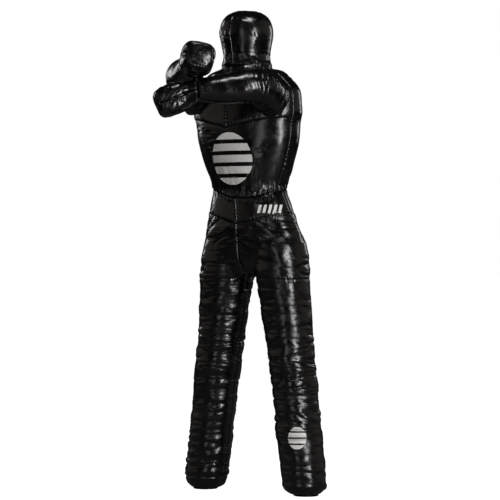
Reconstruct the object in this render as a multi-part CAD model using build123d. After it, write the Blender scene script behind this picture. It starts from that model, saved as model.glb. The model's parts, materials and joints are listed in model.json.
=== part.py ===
from build123d import *
import os

# Grappling dummy: a life-size figure of stitched leather panels over firm textile stuffing.
# Millimetres. +Z up, the dummy faces -Y and its left side is +X. The floor is z = 0.
# Covers are thin leather shells, cut where the real panels are sewn together. Fills are the packed
# stuffing inside them, one for each part of the body that bends on its own.

HIDE = 2.5            # leather thickness
PACK = 0.4            # space between a cover and its fill
INSIDE = HIDE + PACK  # how far a fill lies under the outer surface
SEAM = 0.3            # slit between two panels that are sewn edge to edge
RUN = 0.6             # running clearance between a ball and its seat
SET_BACK = 174.2      # the body stands this far behind the origin, which is under the middle
                      # of the whole figure's box, arms included

# Sections of the body: height, sideways shift, half width, half depth
PELVIS = [
    (812, 0, 50, 50),
    (825, 0, 110, 80),
    (845, 0, 172, 96),
    (870, 0, 204, 104),
    (905, -3, 212, 108),
    (949, -8, 203, 112),
    (994, -13, 188, 112),
    (1038, -18, 174, 110),
    (1082, -22, 160, 106),
    (1104, -24, 151, 104),
]
TORSO = [
    (1104, -24, 151, 104),
    (1126, -25, 153, 107),
    (1148, -26, 161, 112),
    (1193, -28, 181, 120),
    (1237, -30, 196, 127),
    (1281, -31, 209, 132),
    (1325, -32, 216, 135),
    (1369, -33, 223, 136),
    (1413, -34, 230, 134),
    (1457, -35, 228, 130),
    (1479, -36, 222, 125),
    (1501, -37, 203, 118),
    (1524, -38, 178, 108),
    (1546, -38, 146, 98),
    (1568, -38, 100, 88),
]
HEAD = [
    (1568, -38, 100, 88),
    (1590, -39, 89, 84),
    (1612, -39, 88, 85),
    (1634, -39, 91, 91),
    (1656, -39, 95, 96),
    (1678, -40, 99, 100),
    (1700, -40, 99, 100),
    (1722, -40, 94, 95),
    (1744, -40, 83, 83),
    (1760, -40, 64, 64),
    (1771, -40, 36, 36),
]
CHEST_SEAM = 1336     # height of the seam under the chest at the front centre
CHEST_RISE = 0.17     # how fast that seam climbs towards the sides
YOKE_SEAM = 985       # height of the hip seam at the front centre
YOKE_RISE = 0.25
THIGH_SEAM = 786
SIDE_SEAM_Y = -26     # the torso's side seams lie a little in front of its widest line
WAIST = (-24, 0, 1104)
NECK = (-39, 0, 1590)

# Legs: a straight tapered tube from the hip to the floor. Distance from the hip, radius
HIP = (118, 0, 880)
FOOT = (231, 0, 0)
LEG_RADII = [
    (-70, 76),
    (-25, 96),
    (20, 101),
    (90, 99),
    (175, 94),
    (260, 90),
    (330, 86),
    (480, 84),
    (620, 83),
    (760, 82),
    (830, 80),
    (868, 77),
    (884, 72),
]
KNEE_AT = 425         # distance of the knee from the hip
SOLE_THICK = 5.0
SOLE_RADIUS = 73.0
HIP_BALL = 86.0
HIP_GAP = 64.0        # the thigh fill starts this far below the hip
KNEE_BALL = 78.0
KNEE_GAP = 60.0       # the shin fill starts this far below the knee
SWING = 122.0         # room round the hip axis in which the thighs turn
HIP_STUB = 150.0      # length of the column that carries each hip ball
SPAN = 600.0          # wider than the body from side to side
WAIST_ROLL = 92.0     # the waist turns on a roll of stuffing of this radius
WAIST_HALF = (146, 99)  # half sizes of the waist roll, inside the covers
WAIST_GAP = 70.0      # the torso fill starts this far above the waist axis
NECK_BALL = 79.0
NECK_GAP = 24.0       # the head fill starts this far above the middle of the neck ball
NECK_STUB = 60.0      # height of the stuffing under the neck ball

# Arms: both reach forward and cross in front of the chest, the right one above the left
ARMS = {
    "left": {
        "shoulder": (140, -42, 1421),
        "elbow": (141, -169, 1471),
        "forearm": (-0.643, -0.766, -0.045),
        "mitt": (-0.634, -0.671, -0.385),
    },
    "right": {
        "shoulder": (-208, -42, 1421),
        "elbow": (-209, -168, 1512),
        "forearm": (0.738, -0.650, 0.185),
        "mitt": (0.738, -0.650, 0.185),
    },
}
FOREARM = 225.0       # elbow to wrist
UPPER_ARM_RADIUS = 57.0
ELBOW_RADIUS = 59.0
FOREARM_RADII = [(-60, 59), (0, 59), (60, 55), (120, 52), (170, 48), (212, 42), (225, 39)]
MITT_SECTIONS = [     # distance from the wrist, half width, half height, corner radius
    (0, 38, 38, 30),
    (14, 40, 40, 30),
    (50, 56, 52, 30),
    (85, 59, 56, 26),
    (125, 58, 55, 24),
    (150, 45, 43, 18),
]
MITT_TIP = 6.0        # thickness of the end panel
ARM_CORE = 49.0       # radius of the upper arm's fill
ARM_BALL = 50.0       # its rounded ends, in the shoulder and in the elbow
ARM_SWINGS = (0, 10, 20)  # outward swings, in degrees, that the torso leaves room for
ARM_ROOM = 3.0        # room round the arm as it swings
ARM_REACH = 150.0     # how far from the shoulder that room goes
ELBOW_GAP = 30.0      # the forearm fill starts this far from the elbow
WRIST_BALL = 30.0
WRIST_GAP = 13.0
ARMHOLE_AT = 0.46     # where the armhole welt sits, as a share of the upper arm
WELT_BACK = 4.0       # how far short of the wrist its welt sits
WELT = 3.5            # radius of the rolled welts at the armholes and wrists


def save(name, shape):
    """Writes one node in its final place, after checking that it holds at least one solid."""
    solids = shape.solids()
    assert solids, name
    placed = [Pos(0, SET_BACK, 0) * solid for solid in solids]
    whole = placed[0] if len(placed) == 1 else Compound(children=placed)
    export_step(whole, f"parts/{name}.step")
    print(name, len(placed), round(sum(solid.volume for solid in placed) / 1000), "cm3")


def column(sections, inset):
    """A body part lofted through its ellipses, drawn in by inset."""
    rings = [
        Pos(x, 0, z) * Ellipse(half_width - inset, half_depth - inset)
        for z, x, half_width, half_depth in sections
    ]
    return loft(rings)


def beam(start, direction, radii, inset=0.0):
    """A round tapered bar along a direction, from its list of distances and radii."""
    outline = [(max(r - inset, 1.0), s) for s, r in radii]
    points = [(0, radii[0][0])] + outline + [(0, radii[-1][0])]
    face = Plane.XZ * make_face(Polyline(points, close=True))
    bar = revolve(face, Axis.Z)
    return Plane(origin=start, z_dir=direction) * bar


def above(z, rise=0.0, side=1):
    """A plane at height z that climbs by rise per millimetre towards one side."""
    return Plane(origin=(0, 0, z), z_dir=(-rise * side, 0, 1))


def keep(shape, plane, offset=0.0):
    """The part of a shape on the side that the plane's normal points to."""
    return split(shape, bisect_by=plane.offset(offset), keep=Keep.TOP)


def cut(shape, plane, offset=0.0):
    """The part of a shape behind the plane."""
    return split(shape, bisect_by=plane.offset(-offset), keep=Keep.BOTTOM)


def ball(centre, radius, pole=(0, 0, 1)):
    """A ball with its pole along a given direction, so that no seam meets a neighbour's edge."""
    return Plane(origin=centre, x_dir=Vector(*pole).cross(Vector(0, 1, 0)), z_dir=pole) * Sphere(radius)


def roll(centre, radius, length):
    """A cylinder about a hinge axis along X."""
    return Pos(*centre) * Rot(0, 90, 0) * Cylinder(radius, length)


def along(point, direction, distance):
    """The point at a distance from another along a direction."""
    return tuple(p + d * distance for p, d in zip(point, direction))


FRONT = Plane(origin=(0, 0, 0), z_dir=(0, -1, 0))
BACK = Plane(origin=(0, 0, 0), z_dir=(0, 1, 0))
SIDES = {"left": 1, "right": -1}
SLIT = SEAM / 2


def middle(x, side):
    """The upright plane at x that faces the dummy's left (side 1) or right (side -1)."""
    return Plane(origin=(x, 0, 0), z_dir=(side, 0, 0))


def upper_arm_axis(arm):
    """Direction and length of the upper arm, from its shoulder to its elbow."""
    reach = Vector(*arm["elbow"]) - Vector(*arm["shoulder"])
    return tuple(reach.normalized()), reach.length


def upper_arm_bar(arm, inset, start=0.0, end=60.0):
    """The upper arm's tube, run on past the elbow by end so that the mitre can cut it."""
    direction, length = upper_arm_axis(arm)
    radii = [(start, UPPER_ARM_RADIUS), (length, ELBOW_RADIUS), (length + end, ELBOW_RADIUS)]
    return beam(arm["shoulder"], direction, radii, inset)


def forearm_bar(arm, inset):
    """The forearm's tapered tube, from behind the elbow to the wrist."""
    return beam(arm["elbow"], arm["forearm"], FOREARM_RADII, inset)


def elbow_mitre(arm):
    """The plane in which the two arm tubes are sewn together. It faces the forearm."""
    direction, _ = upper_arm_axis(arm)
    facing = Vector(*direction) + Vector(*arm["forearm"]).normalized()
    return Plane(origin=arm["elbow"], z_dir=tuple(facing.normalized()))


def pocket(arm, side):
    """Room in the torso in which an arm swings outwards about its upright shoulder axis."""
    direction, _ = upper_arm_axis(arm)
    bar = beam((0, 0, 0), direction, [(0, ARM_CORE + ARM_ROOM), (ARM_REACH, ARM_CORE + ARM_ROOM)])
    room = Sphere(ARM_BALL + RUN)
    for angle in ARM_SWINGS:
        room = room + Rot(0, 0, side * angle) * bar
    return Pos(*arm["shoulder"]) * room


def head():
    """The hood in two halves, and its fill with a seat for the neck ball."""
    crown = HEAD[-1][0]
    cover = column(HEAD, 0) - cut(column(HEAD, HIDE), above(crown - HIDE))
    centre = HEAD[-1][1]
    fill = keep(column(HEAD, INSIDE), above(NECK[2] + NECK_GAP))
    fill = cut(fill, above(crown - INSIDE))
    for name, side in SIDES.items():
        save(f"head_{name}_panel", keep(cover, middle(centre, side), SLIT))
    save("head_fill", fill - ball(NECK, NECK_BALL + RUN))


def torso():
    """Chest, belly and back panels round the torso's fill, with openings for the arms."""
    cover = column(TORSO, 0) - column(TORSO, HIDE)
    fill = keep(column(TORSO, INSIDE), above(WAIST[2] + WAIST_GAP))
    stub = Pos(NECK[0], 0, NECK[2] - 2 * NECK_STUB / 3) * Cylinder(NECK_BALL - 4, NECK_STUB)
    fill = fill + stub + ball(NECK, NECK_BALL)
    fill = fill - roll(WAIST, WAIST_ROLL + RUN, SPAN)
    for name, side in SIDES.items():
        opening = upper_arm_bar(ARMS[name], -ARM_ROOM) + ball(ARMS[name]["shoulder"], ARM_BALL + RUN)
        cover = cover - opening
        fill = fill - pocket(ARMS[name], side)
    save("torso_fill", fill)
    centre = TORSO[6][1]
    side_seam = Plane(origin=(0, SIDE_SEAM_Y, 0), z_dir=(0, -1, 0))
    front = keep(cover, side_seam, SLIT)
    back = cut(cover, side_seam, SLIT)
    belly = front
    for name, side in SIDES.items():
        seam = above(CHEST_SEAM, CHEST_RISE, side)
        half = keep(front, middle(centre, side), SLIT)
        save(f"chest_{name}_panel", keep(half, Pos(centre, 0, 0) * seam, SLIT))
        save(f"back_{name}_panel", keep(back, middle(centre, side), SLIT))
        upper = keep(keep(front, middle(centre, side)), Pos(centre, 0, 0) * seam, -SLIT)
        belly = belly - upper
    save("belly_panel", belly)


def leg_bar(side, inset):
    """One leg's tube, from above the hip to below the floor."""
    hip = (side * HIP[0], HIP[1], HIP[2])
    direction = (side * (FOOT[0] - HIP[0]), 0, FOOT[2] - HIP[2])
    return beam(hip, direction, LEG_RADII, inset)


def lower_body(inset):
    """The hips and both legs down to the soles, as one outer shape."""
    shape = column(PELVIS, inset) + leg_bar(1, inset) + leg_bar(-1, inset)
    return keep(shape, above(SOLE_THICK))


def pelvis(shell):
    """The yoke panels between the waist and the hip seam, and the fill that both legs hang on."""
    for name, side in SIDES.items():
        half = keep(keep(shell, middle(0, side), SLIT), above(YOKE_SEAM, YOKE_RISE, side), SLIT)
        save(f"yoke_front_{name}_panel", keep(half, FRONT, SLIT))
        save(f"yoke_back_{name}_panel", keep(half, BACK, SLIT))
    body = column(PELVIS, INSIDE)
    fill = body - roll((0, 0, HIP[2]), SWING, SPAN)
    for side in SIDES.values():
        hip = (side * HIP[0], HIP[1], HIP[2])
        stub = Pos(*along(hip, (0, 0, 1), HIP_STUB / 2)) * Cylinder(HIP_BALL - 2, HIP_STUB)
        fill = fill + (stub & body) + ball(hip, HIP_BALL)
    waist = Pos(*WAIST) * extrude(Ellipse(*WAIST_HALF), 2 * WAIST_ROLL, both=True)
    save("pelvis_fill", fill + (roll(WAIST, WAIST_ROLL, SPAN) & waist))


def leg(name, side, shell):
    """Upper and lower leg panels, front and back, the two fills and the sole."""
    hip = (side * HIP[0], HIP[1], HIP[2])
    direction = (side * (FOOT[0] - HIP[0]), 0, FOOT[2] - HIP[2])
    down = tuple(Vector(*direction).normalized())
    knee = along(hip, down, KNEE_AT)
    half = keep(shell, middle(0, side), SLIT)
    upper = keep(cut(half, above(YOKE_SEAM, YOKE_RISE, side), SLIT), above(THIGH_SEAM), SLIT)
    lower = cut(half, above(THIGH_SEAM), SLIT)
    save(f"{name}_hip_front_panel", keep(upper, FRONT, SLIT))
    save(f"{name}_hip_back_panel", keep(upper, BACK, SLIT))
    save(f"{name}_leg_front_panel", keep(lower, FRONT, SLIT))
    save(f"{name}_leg_back_panel", keep(lower, BACK, SLIT))

    bar = leg_bar(side, INSIDE)
    thigh = keep(bar, Plane(origin=along(hip, down, HIP_GAP), z_dir=down))
    thigh = cut(thigh, Plane(origin=knee, z_dir=down))
    thigh = thigh - ball(hip, HIP_BALL + RUN) + ball(knee, KNEE_BALL)
    save(f"{name}_thigh_fill", thigh)
    shin = keep(bar, Plane(origin=along(knee, down, KNEE_GAP), z_dir=down))
    shin = keep(shin, above(SOLE_THICK))
    save(f"{name}_shin_fill", shin - ball(knee, KNEE_BALL + RUN))
    disc = Cylinder(SOLE_RADIUS, SOLE_THICK)
    save(f"{name}_sole", Pos(side * FOOT[0], 0, SOLE_THICK / 2) * disc)


def mitt_block(arm, inset):
    """The boxy fist, lofted through rounded squares along its own direction."""
    wrist = along(arm["elbow"], tuple(Vector(*arm["forearm"]).normalized()), FOREARM)
    across = Vector(0, 0, 1).cross(Vector(*arm["mitt"]))
    place = Plane(origin=wrist, x_dir=across, z_dir=arm["mitt"])
    rings = []
    for distance, half_width, half_height, corner in MITT_SECTIONS:
        outline = RectangleRounded(
            2 * (half_width - inset), 2 * (half_height - inset), corner - inset
        )
        rings.append(Pos(0, 0, distance) * outline)
    block = place * loft(rings, ruled=True)
    return keep(block, Plane(origin=wrist, z_dir=arm["forearm"]), SLIT), place


def sew_arm(name, arm, body):
    """One arm: two tubes mitred at the elbow, a mitt, the fills in them, and two rolled welts.
    What lies inside the body is cut away."""
    direction, length = upper_arm_axis(arm)
    forward = tuple(Vector(*arm["forearm"]).normalized())
    mitre = elbow_mitre(arm)
    wrist = along(arm["elbow"], forward, FOREARM)
    tube = upper_arm_bar(arm, 0) - upper_arm_bar(arm, HIDE, -5, 70)
    upper = cut(tube, mitre, SLIT) - body
    save(f"{name}_upper_arm_cover", upper)
    fore = keep(forearm_bar(arm, 0) - forearm_bar(arm, HIDE), mitre, SLIT)
    save(f"{name}_forearm_cover", cut(fore, Plane(origin=wrist, z_dir=forward), SLIT))

    core = beam(arm["shoulder"], direction, [(0, ARM_CORE), (length, ARM_CORE)])
    core = core + ball(arm["shoulder"], ARM_BALL) + ball(arm["elbow"], ARM_BALL)
    save(f"{name}_upper_arm_fill", core)
    start = Plane(origin=along(arm["elbow"], forward, ELBOW_GAP), z_dir=forward)
    core = keep(forearm_bar(arm, INSIDE), start)
    core = cut(core, Plane(origin=wrist, z_dir=forward)) - ball(arm["elbow"], ARM_BALL + RUN)
    save(f"{name}_forearm_fill", core + ball(wrist, WRIST_BALL))

    outer, place = mitt_block(arm, 0)
    inner, _ = mitt_block(arm, HIDE)
    skin = outer - inner
    flat = Plane(origin=wrist, z_dir=place.x_dir.cross(place.z_dir) * -1)
    save(f"{name}_mitt_back_panel", keep(skin, flat, SLIT))
    save(f"{name}_mitt_palm_panel", cut(skin, flat, SLIT))
    last = MITT_SECTIONS[-1]
    tip = RectangleRounded(2 * last[1], 2 * last[2], last[3])
    save(f"{name}_mitt_end_panel", place * Pos(0, 0, last[0] + SLIT) * extrude(tip, MITT_TIP))
    core, _ = mitt_block(arm, INSIDE)
    core = keep(core, Plane(origin=wrist, z_dir=forward), WRIST_GAP)
    save(f"{name}_mitt_fill", core - ball(wrist, WRIST_BALL + RUN, forward))

    ring = Torus(FOREARM_RADII[-1][1] + WELT + 0.2, WELT)
    at = Plane(origin=along(wrist, forward, -WELT_BACK), z_dir=forward)
    save(f"{name}_wrist_welt", at * ring)
    ring = Torus(UPPER_ARM_RADIUS + WELT + 1, WELT)
    at = Plane(origin=along(arm["shoulder"], direction, length * ARMHOLE_AT), z_dir=direction)
    save(f"{name}_armhole_welt", at * ring - body)


os.makedirs("parts", exist_ok=True)
legs_shell = lower_body(0) - lower_body(HIDE)
torso_block = column(TORSO, 0)
head()
torso()
pelvis(legs_shell)
for name, side in SIDES.items():
    leg(name, side, legs_shell)
    sew_arm(name, ARMS[name], torso_block)
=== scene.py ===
# %% [markdown]
# # A stuffed leather grappling dummy
# The real thing is a figure sewn from glossy black leather and packed hard with shredded textile.
# It has no frame inside, so everything that is seen is skin: smooth where the stuffing pulls it
# tight, creased in rings where the tubes were packed, and puckered along every seam.
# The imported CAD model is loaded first. It gives the joints, the size and the plain outer shape,
# and every skin below is laid over that shape.

# %% Load the frame
import json
import math

import bpy
import numpy as np
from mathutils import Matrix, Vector
from mathutils.bvhtree import BVHTree


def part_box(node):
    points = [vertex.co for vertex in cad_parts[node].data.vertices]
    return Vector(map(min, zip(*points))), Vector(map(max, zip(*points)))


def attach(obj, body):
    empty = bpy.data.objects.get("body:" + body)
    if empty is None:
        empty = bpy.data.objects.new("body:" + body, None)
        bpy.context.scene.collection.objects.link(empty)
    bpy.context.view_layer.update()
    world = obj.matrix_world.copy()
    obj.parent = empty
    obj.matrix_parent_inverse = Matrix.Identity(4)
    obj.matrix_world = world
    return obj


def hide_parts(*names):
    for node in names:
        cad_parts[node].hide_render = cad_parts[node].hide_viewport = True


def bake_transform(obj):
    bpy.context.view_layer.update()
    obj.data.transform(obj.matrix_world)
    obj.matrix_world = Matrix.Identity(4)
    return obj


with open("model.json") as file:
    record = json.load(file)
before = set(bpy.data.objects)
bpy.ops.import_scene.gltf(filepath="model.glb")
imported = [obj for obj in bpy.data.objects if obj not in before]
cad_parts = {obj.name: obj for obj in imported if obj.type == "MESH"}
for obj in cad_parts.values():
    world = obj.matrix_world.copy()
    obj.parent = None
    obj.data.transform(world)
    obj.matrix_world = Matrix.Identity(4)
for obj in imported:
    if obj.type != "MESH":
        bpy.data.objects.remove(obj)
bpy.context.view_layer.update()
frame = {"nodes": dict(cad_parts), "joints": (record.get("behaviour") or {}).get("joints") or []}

joints = {j["name"]: np.array(j["pos_m"]) for j in frame["joints"]}
BODY_Y = joints["waist_bend"][1]     # the upright middle plane of the body, from side to side

# %% [markdown]
# ## Camera, floor and light
# A product like this is shot from far away with a long lens, level with its hips, so that the
# legs and shoulders keep their proportions. The studio is white all round. On black leather the
# white shows as pale rims at grazing angles, and the soft boxes show as broken streaks.

# %% Camera
VIEW_AZIMUTH = math.radians(37.0)
VIEW_DISTANCE = 9.0
FIELD = 1.84           # metres across the picture at the figure
SENSOR = 36.0
RIGHT = Vector((math.cos(VIEW_AZIMUTH), math.sin(VIEW_AZIMUTH), 0))
BACK = Vector((math.sin(VIEW_AZIMUTH), -math.cos(VIEW_AZIMUTH), 0))
aim = Vector((-0.0147, BODY_Y - 0.0111, 0.8906))
camera = bpy.data.objects.new("camera", bpy.data.cameras.new("camera"))
camera.data.sensor_width = SENSOR
camera.data.lens = SENSOR * VIEW_DISTANCE / FIELD
camera.data.clip_end = 200
camera.location = aim + BACK * VIEW_DISTANCE
camera.rotation_euler = (aim - camera.location).to_track_quat("-Z", "Y").to_euler()
bpy.context.scene.collection.objects.link(camera)
bpy.context.scene.camera = camera
print("camera", [round(v, 2) for v in camera.location], "lens", round(camera.data.lens))


# %% Helpers for node materials
def new_material(name):
    """A material, its nodes, its links and its Principled shader."""
    material = bpy.data.materials.new(name)
    material.use_nodes = True
    nodes, links = material.node_tree.nodes, material.node_tree.links
    return material, nodes, links, nodes["Principled BSDF"]


def add_node(nodes, kind, settings=None, **inputs):
    """A node with its settings, and its inputs by name with underscores for spaces."""
    node = nodes.new(kind)
    for name, value in (settings or {}).items():
        setattr(node, name, value)
    for name, value in inputs.items():
        node.inputs[name.replace("_", " ")].default_value = value
    return node


def map_range(nodes, **inputs):
    """A node that maps a value from one range to another with a smooth step."""
    return add_node(nodes, "ShaderNodeMapRange", {"interpolation_type": "SMOOTHSTEP"}, **inputs)


# %% Floor, white surroundings and soft boxes
def make_floor():
    size = 60.0
    data = bpy.data.meshes.new("floor")
    low = -0.0006                # just under the soles, so that the two never share a surface
    corners = [(-size, -size, low), (size, -size, low), (size, size, low), (-size, size, low)]
    data.from_pydata(corners, [], [(0, 1, 2, 3)])
    floor = bpy.data.objects.new("floor", data)
    bpy.context.scene.collection.objects.link(floor)
    material, nodes, links, shader = new_material("studio_white")
    shader.inputs["Roughness"].default_value = 0.9
    shader.inputs["Specular IOR Level"].default_value = 0.1
    shader.inputs["Emission Color"].default_value = (1, 1, 1, 1)
    seen = add_node(nodes, "ShaderNodeLightPath").outputs["Is Camera Ray"]
    glow = add_node(nodes, "ShaderNodeMapRange", To_Min=0.0, To_Max=1.0)
    links.new(seen, glow.inputs["Value"])
    links.new(glow.outputs["Result"], shader.inputs["Emission Strength"])
    paint = add_node(nodes, "ShaderNodeMix", {"data_type": "RGBA"})
    paint.inputs["A"].default_value = (0.22, 0.21, 0.205, 1)     # what the leather reflects
    paint.inputs["B"].default_value = (0.86, 0.86, 0.86, 1)      # what is seen
    links.new(seen, paint.inputs["Factor"])
    links.new(paint.outputs["Result"], shader.inputs["Base Color"])
    data.materials.append(material)


def soft_box(name, place, width, height, power, target=(0, BODY_Y, 1.0)):
    light = bpy.data.lights.new(name, "AREA")
    light.shape = "RECTANGLE"
    light.size, light.size_y = width, height
    light.energy = power
    lamp = bpy.data.objects.new(name, light)
    lamp.location = place
    lamp.rotation_euler = (Vector(target) - Vector(place)).to_track_quat("-Z", "Y").to_euler()
    bpy.context.scene.collection.objects.link(lamp)


def make_surroundings():
    """White to look at. What the leather reflects is dark, with a pale wall at each side."""
    world = bpy.data.worlds.new("studio")
    bpy.context.scene.world = world
    world.use_nodes = True
    nodes, links = world.node_tree.nodes, world.node_tree.links
    way = add_node(nodes, "ShaderNodeTexCoord").outputs["Generated"]
    side = add_node(nodes, "ShaderNodeVectorMath", {"operation": "DOT_PRODUCT"})
    side.inputs[1].default_value = RIGHT
    links.new(way, side.inputs[0])
    far = add_node(nodes, "ShaderNodeMath", {"operation": "ABSOLUTE"})
    links.new(side.outputs["Value"], far.inputs[0])
    wall = map_range(nodes, From_Min=0.60, From_Max=0.98, To_Min=0.012, To_Max=0.24)
    links.new(far.outputs[0], wall.inputs["Value"])
    seen = add_node(nodes, "ShaderNodeLightPath").outputs["Is Camera Ray"]
    pick = add_node(nodes, "ShaderNodeMix", {"data_type": "FLOAT"})
    pick.inputs["B"].default_value = 1.0
    links.new(seen, pick.inputs["Factor"])
    links.new(wall.outputs["Result"], pick.inputs["A"])
    background = nodes["Background"]
    tone = add_node(nodes, "ShaderNodeMix", {"data_type": "RGBA"})
    tone.inputs["A"].default_value = (1, 0.93, 0.88, 1)      # the reflected walls are a little warm
    tone.inputs["B"].default_value = (1, 1, 1, 1)
    links.new(seen, tone.inputs["Factor"])
    links.new(tone.outputs["Result"], background.inputs["Color"])
    links.new(pick.outputs["Result"], background.inputs["Strength"])


make_floor()
make_surroundings()
bpy.context.scene.view_settings.view_transform = "Standard"
UP = Vector((0, 0, 1))
soft_box("key", BACK * 2.9 + RIGHT * 1.75 + UP * 1.45, 0.42, 2.7, 72, target=(0, BODY_Y, 0.95))
soft_box("fill", BACK * 2.7 - RIGHT * 0.9 + UP * 1.3, 0.5, 2.4, 7, target=(0, BODY_Y, 0.95))
soft_box("top", BACK * 0.9 + RIGHT * 0.2 + UP * 3.6, 1.0, 0.5, 22, target=(0, BODY_Y, 1.5))
soft_box("back_left", BACK * -2.6 - RIGHT * 2.2 + UP * 2.2, 0.4, 1.8, 11)
soft_box("back_right", BACK * -2.4 + RIGHT * 2.6 + UP * 1.9, 0.4, 1.6, 9)
print("studio ready")

# %% [markdown]
# ## Noise for creases
# Creased leather is not random bumps. It has rounded swellings with sharp valleys between them,
# and they run across the pull. The noise below is a smooth lattice noise. Folding it with an
# absolute value turns its zero lines into sharp valleys, and stretching its input makes them run.

# %% Lattice noise
def lattice(x, y, z, seed):
    """A fixed pseudo-random value between -1 and 1 for each whole-number corner."""
    h = (x * 73856093) ^ (y * 19349663) ^ (z * 83492791) ^ (seed * 49979687)
    h = (h ^ (h >> 13)) * 1274126177 & 0xFFFFFFFF
    h = ((h ^ (h >> 15)) * 668265263) & 0xFFFFFFFF
    return ((h ^ (h >> 16)) & 0xFFFFFF) / float(0xFFFFFF) * 2 - 1


def noise(points, size, seed=0):
    """Smooth noise between about -1 and 1. size is the width of a bump along x, y and z."""
    p = points / np.array(size, float)
    cell = np.floor(p).astype(np.int64)
    part = p - cell
    part = part * part * part * (part * (part * 6 - 15) + 10)
    total = 0
    for dx in (0, 1):
        wx = part[..., 0] if dx else 1 - part[..., 0]
        for dy in (0, 1):
            wy = part[..., 1] if dy else 1 - part[..., 1]
            for dz in (0, 1):
                wz = part[..., 2] if dz else 1 - part[..., 2]
                corner = lattice(cell[..., 0] + dx, cell[..., 1] + dy, cell[..., 2] + dz, seed)
                total = total + wx * wy * wz * corner
    return total


def creases(points, size, seed=0, bend=0.35):
    """Rounded swellings with sharp valleys, from 0 in a valley to about 1 on top."""
    size = np.array(size, float)
    warp = np.stack([noise(points, size * 2.2, seed + 50 + k) for k in range(3)], -1)
    moved = points + warp * size * bend * 2
    return np.clip(np.abs(noise(moved, size, seed)) * 1.9, 0, 1.2)


def step(low, high, value):
    """A smooth step from 0 at low to 1 at high."""
    t = np.clip((value - low) / (high - low), 0, 1)
    return t * t * (3 - 2 * t)


print("noise of a few points", np.round(noise(np.eye(3), 0.7), 2))

# %% [markdown]
# ## From the plain shape to a skin
# The covers of the frame say where the leather lies. Rays are sent outwards from the middle of a
# limb, ring by ring, and where they leave the covers is the surface. That gives a tidy grid with
# rows along the limb and columns round it, so a seam is a line of known turn and height, and the
# distance from a seam is known everywhere. A voxel skin would lose both.

# %% Rays from the middle of a limb
def ray_target(*names):
    """The meshes of some CAD nodes as one target."""
    points, faces = [], []
    for name in names:
        mesh = frame["nodes"][name].data
        start = len(points)
        points += [v.co.copy() for v in mesh.vertices]
        faces += [[start + i for i in p.vertices] for p in mesh.polygons]
    return BVHTree.FromPolygons(points, faces)


def soften(grid, times, weight=0.5):
    """Evens out a grid that closes on itself round each row."""
    g = np.array(grid, float)
    for _ in range(times):
        g = g + weight * ((np.roll(g, 1, 1) + np.roll(g, -1, 1)) / 2 - g)
        g[1:-1] = g[1:-1] + weight * ((g[2:] + g[:-2]) / 2 - g[1:-1])
    return g


def limb(target, centres, rises, around=240, wall=None, reach=0.45):
    """Where rays leave the covers. Each ring has a centre and a rise in radians above level."""
    rows = len(centres)
    radii = np.full((rows, around), np.nan)
    turns = 2 * np.pi * np.arange(around) / around
    for i, (centre, rise) in enumerate(zip(centres, rises)):
        for k, turn in enumerate(turns):
            level = math.cos(rise)
            ray = Vector((math.cos(turn) * level, math.sin(turn) * level, math.sin(rise)))
            far = Vector(centre) + ray * reach
            hit = target.ray_cast(far, -ray, reach)[0]
            if hit is not None:
                radii[i, k] = (hit - Vector(centre)).length
    for i, row in enumerate(radii):          # slits and arm openings are drawn straight across
        known = ~np.isnan(row)
        if known.any():
            row[~known] = np.interp(turns[~known], turns[known], row[known], period=2 * np.pi)
        else:                                # past the last cover the ring before it is kept
            row[:] = radii[i - 1].mean()
    if wall is not None:                     # the flat side where two legs press together
        inward = np.cos(turns) * wall < 0
        room = np.abs(np.array(centres)[:, :1]) / np.maximum(np.abs(np.cos(turns)), 1e-6)
        radii = np.where(inward & (radii > room), room, radii)
    return radii


class Limb:
    """A smooth outer surface that can be asked for any turn and height."""

    def __init__(self, heights, centres, rises, radii):
        self.heights = np.array(heights)
        self.centres = np.array(centres, float)
        self.rises = np.array(rises, float)
        self.radii = radii

    def at(self, turn, height):
        """Points on the surface. Heights run as the rows do, and turns are in radians."""
        rows, around = self.radii.shape
        f = np.interp(height, self.heights, np.arange(rows))
        i = np.clip(np.floor(f).astype(int), 0, rows - 2)
        t = (f - i)[..., None]
        k = (turn / (2 * np.pi) * around) % around
        a = np.floor(k).astype(int)
        u = k - a
        a, b = a % around, (a + 1) % around
        r0 = self.radii[i, a] * (1 - u) + self.radii[i, b] * u
        r1 = self.radii[i + 1, a] * (1 - u) + self.radii[i + 1, b] * u
        r = r0 * (1 - t[..., 0]) + r1 * t[..., 0]
        rise = self.rises[i] * (1 - t[..., 0]) + self.rises[i + 1] * t[..., 0]
        centre = self.centres[i] * (1 - t) + self.centres[i + 1] * t
        ray = np.stack([np.cos(turn) * np.cos(rise), np.sin(turn) * np.cos(rise), np.sin(rise)], -1)
        return centre + ray * r[..., None]


# %% Sample the body, the head and the legs
def body_centre(z):
    """The middle of the torso and hips, which lean a little to one side."""
    levels = [0.985, 1.04, 1.1, 1.2, 1.37, 1.50, 1.6]
    shifts = [0, -0.006, -0.016, -0.028, -0.033, -0.037, -0.039]
    return (float(np.interp(z, levels, shifts)), BODY_Y, float(z))


SEAM_FRONT, SEAM_BACK = -math.pi / 2, math.pi / 2
heights = np.concatenate([np.linspace(0.955, 1.50, 110), np.linspace(1.504, 1.567, 34)])
centres = [body_centre(z) for z in heights]
target = ray_target(
    "chest_left_panel", "chest_right_panel", "belly_panel", "back_left_panel", "back_right_panel",
    *[f"yoke_{face}_{side}_panel" for face in ("front", "back") for side in ("left", "right")],
    *[f"{side}_hip_{face}_panel" for face in ("front", "back") for side in ("left", "right")],
)
radii = limb(target, centres, [0] * len(heights))
radii = soften(radii[..., None], 3)[..., 0]
torso = Limb(heights, centres, [0] * len(heights), radii)
print("torso", radii.shape, "width at the chest", round(float(radii[90, 0] + radii[90, 120]), 3))

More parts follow.
